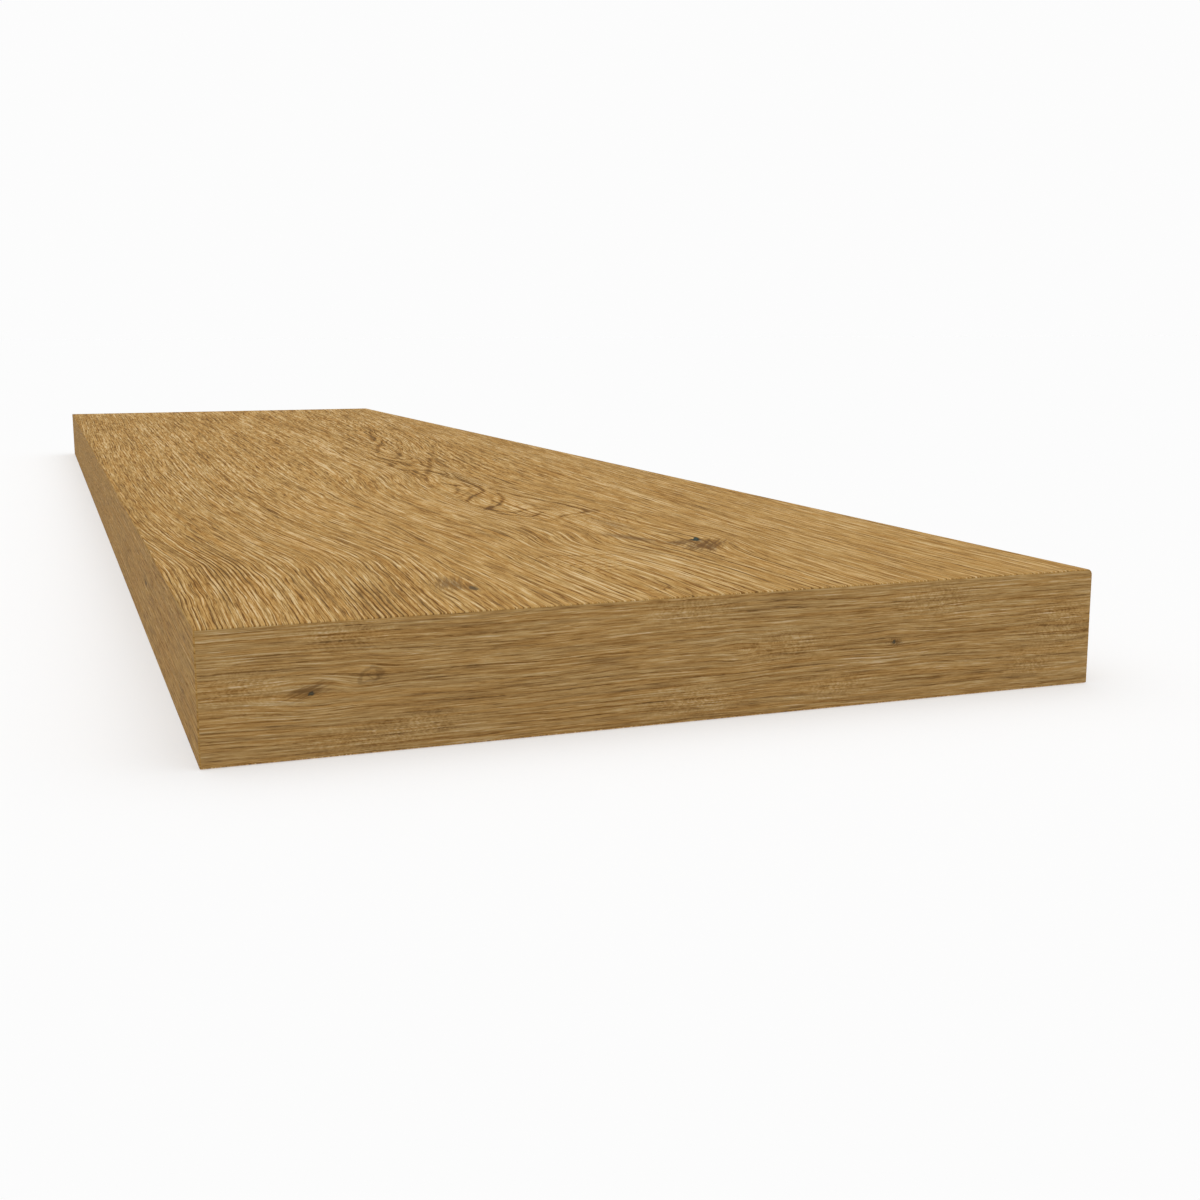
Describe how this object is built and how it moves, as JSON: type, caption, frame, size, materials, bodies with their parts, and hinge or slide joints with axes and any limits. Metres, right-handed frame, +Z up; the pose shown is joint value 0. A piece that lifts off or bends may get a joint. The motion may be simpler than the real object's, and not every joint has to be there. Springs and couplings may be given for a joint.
{
  "type": "stair tread",
  "caption": "Straight oak-finish stair tread: a thick rectangular board with a lightly rounded nosing edge, laid on stringers or risers as the step of a stair.",
  "frame": {"origin": "middle of the underside, on the surface that the tread lies on", "axes": "+X along the length and the grain, -Y towards the nosing (the front edge, with the rounded upper edge), +Z up from the underside to the walking surface"},
  "size_m": [1.2, 0.3, 0.04],
  "materials": {
    "oak": "golden oak, brushed grain on the walking surface and darker fine grain on the edges, matt"
  },
  "bodies": {
    "root": {"stair_tread": "oak"}
  },
  "joints": []
}
